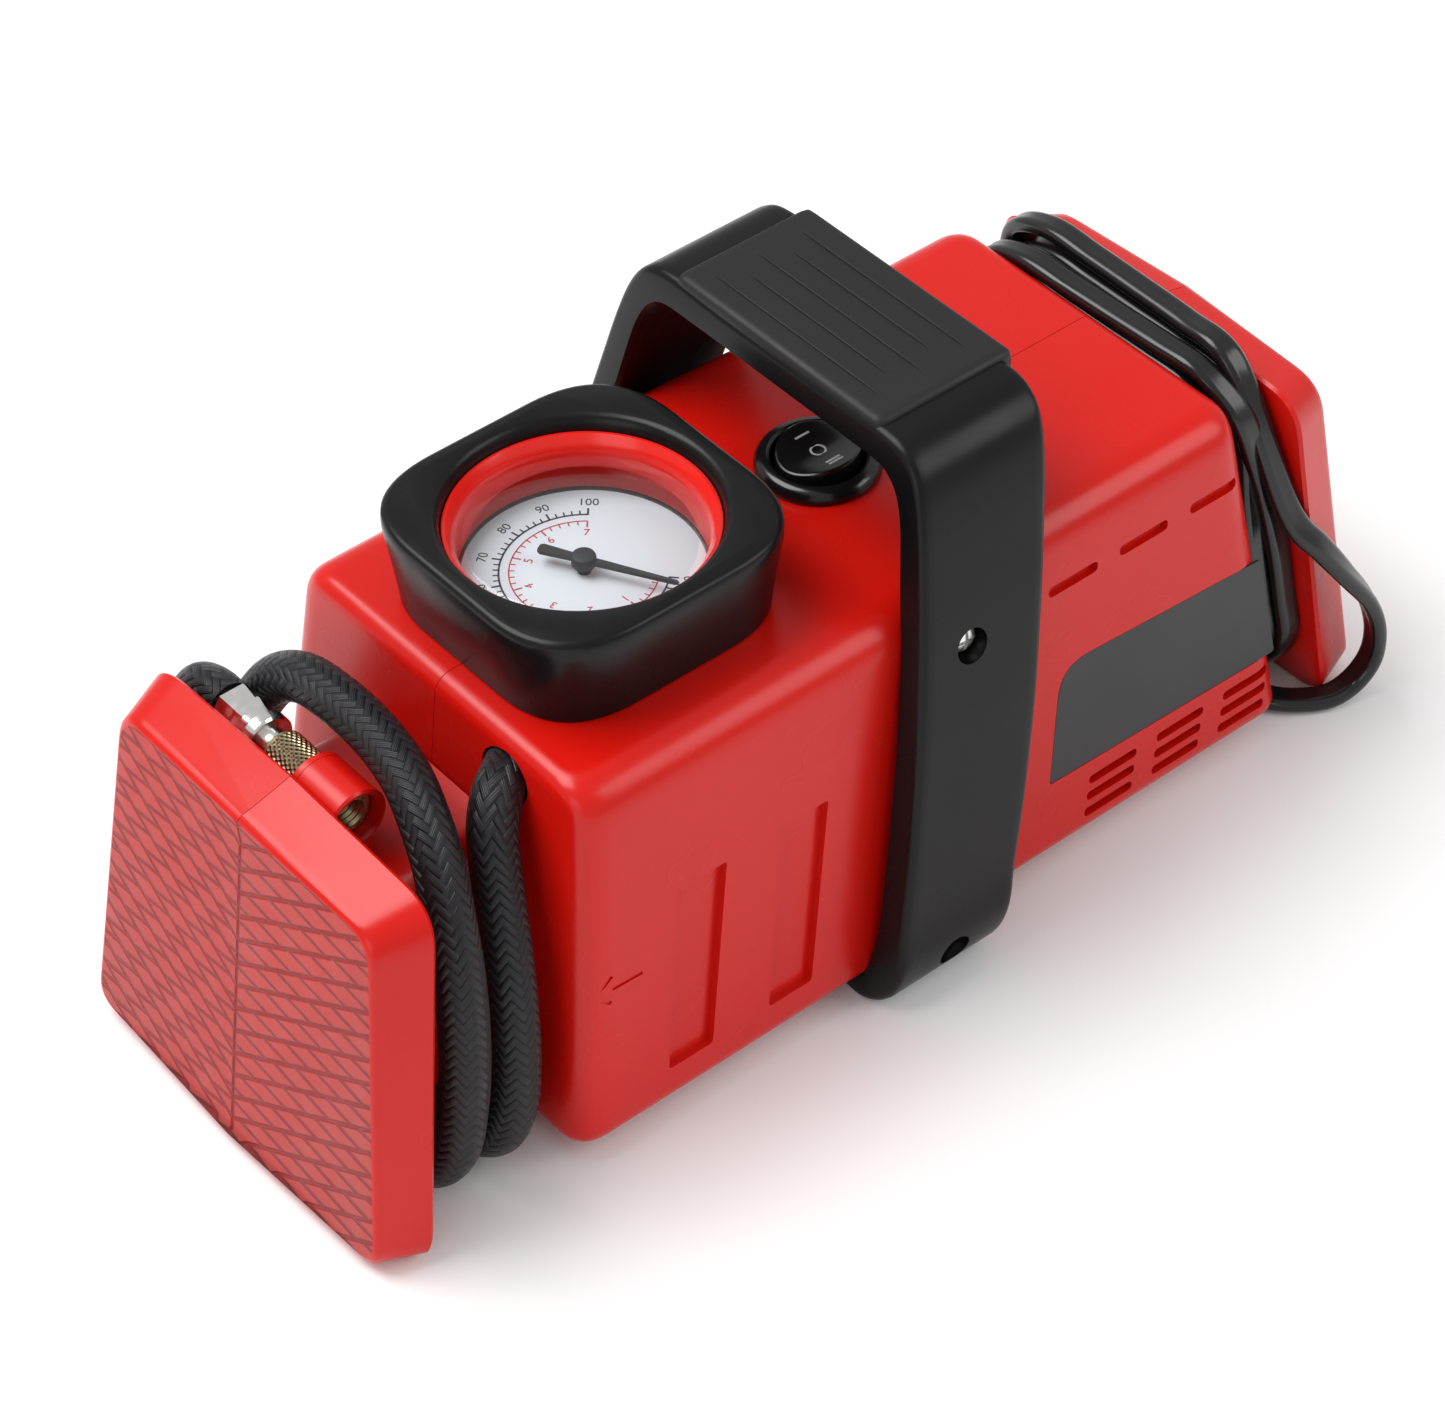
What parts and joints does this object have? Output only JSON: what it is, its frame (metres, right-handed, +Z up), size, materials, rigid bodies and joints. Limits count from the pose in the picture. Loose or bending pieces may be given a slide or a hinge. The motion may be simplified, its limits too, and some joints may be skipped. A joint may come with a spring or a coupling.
{
  "type": "air compressor",
  "caption": "Portable mains air compressor: red clamshell body between two reel plates, strap handle, pressure gauge, rocker switch, braided hose and mains cord wound on the ends.",
  "frame": {"origin": "centre of the base, on the surface the object stands on, midway between the end plates", "axes": "+X from the hose end to the mains cord end, +Z up, +Y to the side without the label"},
  "size_m": [0.2381, 0.1481, 0.1135],
  "materials": {
    "red_plastic": "glossy injection-moulded red plastic",
    "black_plastic": "satin black plastic",
    "red_ring_plastic": "glossy red plastic ring",
    "grip_rubber": "matte black rubber",
    "hose_braid": "black braided sleeve over a rubber hose",
    "cord_pvc": "smooth black cable sheath",
    "brass": "turned brass",
    "chrome": "polished plating",
    "steel": "plain steel",
    "aluminium": "cast aluminium",
    "dial_face": "white printed dial",
    "clear_plastic": "clear moulded plastic",
    "nylon": "natural nylon",
    "circuit_board": "green circuit board",
    "label_film": "dark printed film, blank",
    "capacitor_sleeve": "sleeved can",
    "needle_paint": "black paint"
  },
  "bodies": {
    "compressor": {"housing_left": "red_plastic", "housing_right": "red_plastic", "label_plate": "label_film", "hose_reel_left": "red_plastic", "hose_reel_right": "red_plastic", "cord_reel_left": "red_plastic", "cord_reel_right": "red_plastic", "handle_strap": "black_plastic", "handle_grip": "grip_rubber", "strap_screw_1": "chrome", "strap_screw_2": "chrome", "strap_screw_3": "chrome", "strap_screw_4": "chrome", "case_screw_1": "steel", "case_screw_2": "steel", "case_screw_3": "steel", "case_screw_4": "steel", "gauge_bezel": "black_plastic", "gauge_ring": "red_ring_plastic", "gauge_case": "steel", "gauge_dial": "dial_face", "gauge_lens": "clear_plastic", "gauge_stem": "brass", "switch_housing": "black_plastic", "air_hose": "hose_braid", "hose_ferrule": "chrome", "hose_barb": "brass", "mains_cord_coil": "cord_pvc", "mains_cord_lead": "cord_pvc", "mains_cord_run": "cord_pvc", "mains_plug": "cord_pvc", "cord_grommet": "cord_pvc", "motor_can": "steel", "motor_endcap": "nylon", "pump_frame": "aluminium", "cylinder_head": "aluminium", "air_manifold": "brass", "air_tube": "clear_plastic", "power_board": "circuit_board", "transformer": "steel", "capacitor": "capacitor_sleeve", "heat_sink": "aluminium"},
    "rocker": {"switch_rocker": "black_plastic"},
    "needle": {"gauge_needle": "needle_paint"},
    "motor_rotor": {"motor_armature": "steel", "motor_pinion": "brass", "cooling_fan": "black_plastic"},
    "crank": {"crankshaft": "steel", "drive_gear": "nylon"},
    "pump_piston": {"piston": "aluminium"},
    "connecting_rod": {"piston_rod": "nylon"},
    "chuck": {"chuck_barrel": "brass", "chuck_washer": "grip_rubber"}
  },
  "joints": [
    {"name": "rocker_tilt", "type": "hinge", "parent": "compressor", "child": "rocker", "pos_m": [0.0173, 0, 0.079], "axis": [1, 0, 0], "range_deg": [-11, 11]},
    {"name": "needle_turn", "type": "hinge", "parent": "compressor", "child": "needle", "pos_m": [-0.0358, 0, 0.089], "axis": [0, 0, 1], "range_deg": [-270, 0], "stiffness_Nm_per_rad": 0.00002},
    {"name": "motor_turn", "type": "hinge", "parent": "compressor", "child": "motor_rotor", "pos_m": [0.03, 0, 0.028], "axis": [1, 0, 0], "continuous": true},
    {"name": "crank_turn", "type": "hinge", "parent": "compressor", "child": "crank", "pos_m": [-0.006, -0.0144, 0.0472], "axis": [1, 0, 0], "continuous": true},
    {"name": "piston_slide", "type": "slide", "parent": "compressor", "child": "pump_piston", "axis": [0, 1, 0], "range_m": [-0.0053, 0.0066]},
    {"name": "rod_swing", "type": "hinge", "parent": "pump_piston", "child": "connecting_rod", "pos_m": [-0.0202, 0.01192, 0.0472], "axis": [1, 0, 0], "range_deg": [0, 25.6]},
    {"name": "chuck_turn", "type": "hinge", "parent": "compressor", "child": "chuck", "pos_m": [-0.0934, 0, 0.0716], "axis": [0, 1, 0], "continuous": true}
  ],
  "couplings": [
    {"joint": "crank_turn", "follows": "motor_turn", "ratio": -0.2}
  ]
}
